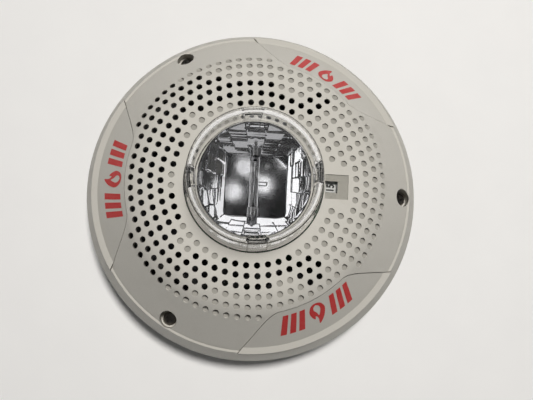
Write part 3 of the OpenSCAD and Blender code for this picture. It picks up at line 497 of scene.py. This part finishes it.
def makeCollar(s):
    a, b, low, high, e = s["inner"], s["outer"], s["low"], s["high"], s["edge"]
    profile = [(a, low), (b, low), (b, high - e), (b - e, high), (a + e, high), (a, high - e)]
    return newPiece("lensCollar", *lathe(profile, 192), panelPlastic, "head")


makeCollar(collarShape)
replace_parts(makeLens(lensShape), "lens")
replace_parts(makeReflector(bowlShape), "reflector")
print("lens and reflector")


# the printed mark on each panel: a flame between slanted bars
markShape = {"angles": (60, 180, 300), "middle": 68.4, "slopeRadius": 62.6, "slopeHeight": 31.9,
             "slope": 49.0, "sink": 0.5, "ink": 0.05, "bars": (8.4, 12.8, 17.2), "barWidth": 2.9,
             "barHalf": 5.0, "slant": 1.2, "flame": 1.12}


def smoothLoop(points, cuts=6):
    n, loop = len(points), []
    for i in range(n):
        a, b, c, d = (Vector(points[(i + k - 1) % n]) for k in range(4))
        for k in range(cuts):
            t = k / cuts
            loop.append(0.5 * (2 * b + (c - a) * t + (2 * a - 5 * b + 4 * c - d) * t * t
                               + (3 * b - a - 3 * c + d) * t ** 3))
    return loop


def filled(loops, spacing=1.0):  # triangles inside the first loop and outside the others
    points, edges = [], []
    for loop in loops:
        start = len(points)
        points += [Vector(p) for p in loop]
        edges += [(start + i, start + (i + 1) % len(loop)) for i in range(len(loop))]
    xs, ys = [p.x for p in points], [p.y for p in points]

    def inside(p):
        hits = 0
        for loop in loops:
            for i in range(len(loop)):
                a, b = Vector(loop[i]), Vector(loop[(i + 1) % len(loop)])
                if (a.y > p.y) != (b.y > p.y) and p.x < a.x + (b.x - a.x) * (p.y - a.y) / (b.y - a.y):
                    hits += 1
        return hits % 2 == 1

    x = min(xs)
    while x < max(xs):
        y = min(ys)
        while y < max(ys):
            p = Vector((x, y))
            if inside(p):
                points.append(p)
            y += spacing
        x += spacing
    found = delaunay_2d_cdt(points, edges, [], 1, 1e-5)
    flat, faces = found[0], found[2]
    return flat, [f for f in faces if inside(sum((flat[i] for i in f), Vector((0, 0))) / len(f))]


def makeMarks(s):
    flame = smoothLoop([(0.1, -4.8), (2.4, -4.1), (3.7, -1.8), (3.2, 0.6), (2.0, 2.2), (1.4, 0.8),
                        (0.6, 2.4), (0.7, 4.9), (-1.5, 3.1), (-2.9, 0.9), (-3.7, -1.6), (-2.5, -4.0)])
    hollow = smoothLoop([(0.1, -3.9), (1.3, -3.2), (1.5, -1.9), (0.6, -0.6), (-0.1, 1.0), (-1.2, -0.7),
                         (-1.6, -2.1), (-1.1, -3.3)])
    shapes = [[[p * s["flame"] for p in loop] for loop in (flame, hollow)]]
    for place in s["bars"]:
        for side in (-1, 1):
            h, w, lean = s["barHalf"], s["barWidth"] / 2, s["slant"]
            shapes.append([[(side * place - lean - w, -h), (side * place - lean + w, -h),
                            (side * place + lean + w, h), (side * place + lean - w, h)]])
    vertices, faces = [], []
    fall = math.tan(math.radians(s["slope"]))
    lift = s["ink"] / math.cos(math.radians(s["slope"]))  # the ink's thickness, measured upright
    for angle in s["angles"]:
        for loops in shapes:
            flat, tris = filled(loops)
            start = len(vertices)
            for p in flat:
                r = s["middle"] + p.y
                a = math.radians(angle) - p.x / s["middle"]
                z = s["slopeHeight"] - (r - s["slopeRadius"]) * fall - s["sink"] + lift
                vertices.append((r * math.cos(a), r * math.sin(a), z))
            faces += [tuple(start + i for i in f) for f in tris]
    piece = newPiece("printedMarks", vertices, faces, red, "head", 60)
    bm = bmesh.new()
    bm.from_mesh(piece.data)
    for face in bm.faces:
        if face.normal.z < 0:
            face.normal_flip()
    bm.to_mesh(piece.data)
    bm.free()
    return piece


makeMarks(markShape)
print("printed marks")


# numbers on the slider, one for each setting
dialShape = {"numbers": (15, 30, 45, 60, 75, 90, 105), "pitch": 5.0, "middle": 36.5, "top": 34.4,
             "size": 5.0, "ink": 0.03, "spacing": 0.95, "bold": 0.16, "narrow": 0.82, "narrower": 0.62}


def makeNumbers(s):
    for i, number in enumerate(s["numbers"]):
        words = bpy.data.curves.new("settingText%d" % i, "FONT")
        words.body = str(number)
        words.align_x = words.align_y = "CENTER"
        words.size = s["size"] * mm
        words.space_character = s["spacing"]
        words.offset = s["bold"] * mm
        words.resolution_u = 6
        holder = bpy.data.objects.new("settingText%d" % i, words)
        bpy.context.scene.collection.objects.link(holder)
        bpy.context.view_layer.update()
        drawn = holder.evaluated_get(bpy.context.evaluated_depsgraph_get())
        mesh = bpy.data.meshes.new_from_object(drawn)
        bpy.data.objects.remove(holder)
        narrow = s["narrow"] if number < 100 else s["narrower"]  # three digits need more
        mesh.transform(Matrix.Translation(Vector((s["middle"], i * s["pitch"], s["top"] + s["ink"])) * mm)
                       @ Matrix.Rotation(math.radians(90), 4, "Z") @ Matrix.Diagonal((narrow, 1, 1, 1)))
        mesh.materials.clear()
        mesh.materials.append(black)
        piece = bpy.data.objects.new("settingNumber%d" % i, mesh)
        bpy.context.scene.collection.objects.link(piece)
        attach(piece, "setting")


makeNumbers(dialShape)
print("slider numbers")

for part in nodes.values():  # smooth curves, crisp edges
    part.data.shade_smooth()


studio = {"floor": -18.6, "size": 3.0}
floorMesh = bpy.data.meshes.new("floor")
half = studio["size"] / 2
corners = [(-half, -half, 0), (half, -half, 0), (half, half, 0), (-half, half, 0)]
floorMesh.from_pydata(corners, [], [(0, 1, 2, 3)])
floor = bpy.data.objects.new("floor", floorMesh)
floor.location.z = studio["floor"] * mm
bpy.context.scene.collection.objects.link(floor)
paper = Finish("paper")
floorMesh.materials.append(paper.cover({
    "Base Color": paper.mix(paper.noise(40, 4), (0.90, 0.90, 0.90, 1), (0.94, 0.94, 0.935, 1)),
    "Roughness": 0.9, "Specular IOR Level": 0.2}))
floor.visible_diffuse = False  # its bounce would flatten the shading of the sides

world = bpy.data.worlds.new("room")
bpy.context.scene.world = world
world.use_nodes = True
sky = world.node_tree
back = sky.nodes["Background"] if "Background" in sky.nodes else sky.nodes.new("ShaderNodeBackground")
ramp = sky.nodes.new("ShaderNodeValToRGB")
split = sky.nodes.new("ShaderNodeSeparateXYZ")
where = sky.nodes.new("ShaderNodeTexCoord")
sky.links.new(where.outputs["Generated"], split.inputs[0])
sky.links.new(split.outputs["Z"], ramp.inputs["Fac"])
# each stop is the sine of the height above the horizon, and the brightness there
levels = ((0.0, 0.80), (0.10, 0.30), (0.3, 0.12), (0.85, 0.09), (1.0, 0.03))
while len(ramp.color_ramp.elements) < len(levels):
    ramp.color_ramp.elements.new(1.0)
for stop, (place, level) in zip(ramp.color_ramp.elements, levels):
    stop.position = place
    stop.color = (level, level * 0.995, level * 0.98, 1)
sky.links.new(ramp.outputs[0], back.inputs["Color"])
back.inputs["Strength"].default_value = 0.4


def softBox(name, place, aim, width, watts, colour=(1, 1, 1), mirrored=True):
    lamp = bpy.data.lights.new(name, "AREA")
    lamp.shape, lamp.size, lamp.energy, lamp.color = "DISK", width, watts, colour
    holder = bpy.data.objects.new(name, lamp)
    holder.location = place
    holder.rotation_mode = "QUATERNION"
    holder.rotation_quaternion = (Vector(aim) - Vector(place)).to_track_quat("-Z", "Y")
    holder.visible_glossy = holder.visible_transmission = bool(mirrored)  # off: no glare in the lens
    holder.visible_diffuse = mirrored != "only"
    bpy.context.scene.collection.objects.link(holder)


middle = (0, 0, 0.03)
white, warm, cool = (1, 1, 1), (1.0, 0.975, 0.94), (0.97, 0.985, 1.0)
softBox("keyLight", (0.12, 0.27, 1.1), middle, 0.24, 11.4, warm, False)
softBox("sideLight", (-1.25, -0.35, 0.95), middle, 0.45, 0.5, cool)
softBox("lowLight", (0.5, -1.3, 0.7), middle, 0.4, 0.4, cool)
glints = {"glintTop": ((0.15, 1.15, 1.25), 0.9, 2.2), "glintRight": ((-1.05, 0.15, 1.3), 0.55, 0.9),
          "glintLow": ((-0.12, -0.66, 1.4), 0.4, 0.16), "glintLeft": ((0.94, 0.12, 1.3), 0.42, 0.4)}
for name, (place, width, watts) in glints.items():  # seen only in mirrors
    softBox(name, place, middle, width, watts, white, "only")
ceilingLamps = {"width": 0.038, "watts": 0.0042, "height": 1.2,
                "spots": ((-0.004, 0.219), (0.088, 0.238), (-0.028, 0.162), (0.039, 0.181))}
for i, (x, y) in enumerate(ceilingLamps["spots"]):
    softBox("ceilingLamp%d" % i, (x, y, ceilingLamps["height"]), middle, ceilingLamps["width"],
            ceilingLamps["watts"])

view = {"place": (-3.883, -41.778, 303.467), "aim": (6.209, -7.884, 39.4), "roll": 2.756, "lens": 38.816}
camera = bpy.data.cameras.new("camera")
camera.lens, camera.sensor_width, camera.sensor_fit = view["lens"], 36.0, "HORIZONTAL"
camera.clip_start, camera.clip_end = 0.01, 20
eye = bpy.data.objects.new("camera", camera)
bpy.context.scene.collection.objects.link(eye)
gaze = (Vector(view["place"]) - Vector(view["aim"])).normalized()
right = Vector((0, 1, 0)).cross(gaze).normalized()
roll = Matrix.Rotation(math.radians(view["roll"]), 3, "Z")
turn = Matrix((right, gaze.cross(right), gaze)).transposed() @ roll
eye.matrix_world = Matrix.Translation(Vector(view["place"]) * mm) @ turn.to_4x4()
bpy.context.scene.camera = eye
bpy.context.scene.view_settings.view_transform = "Standard"
print("studio")
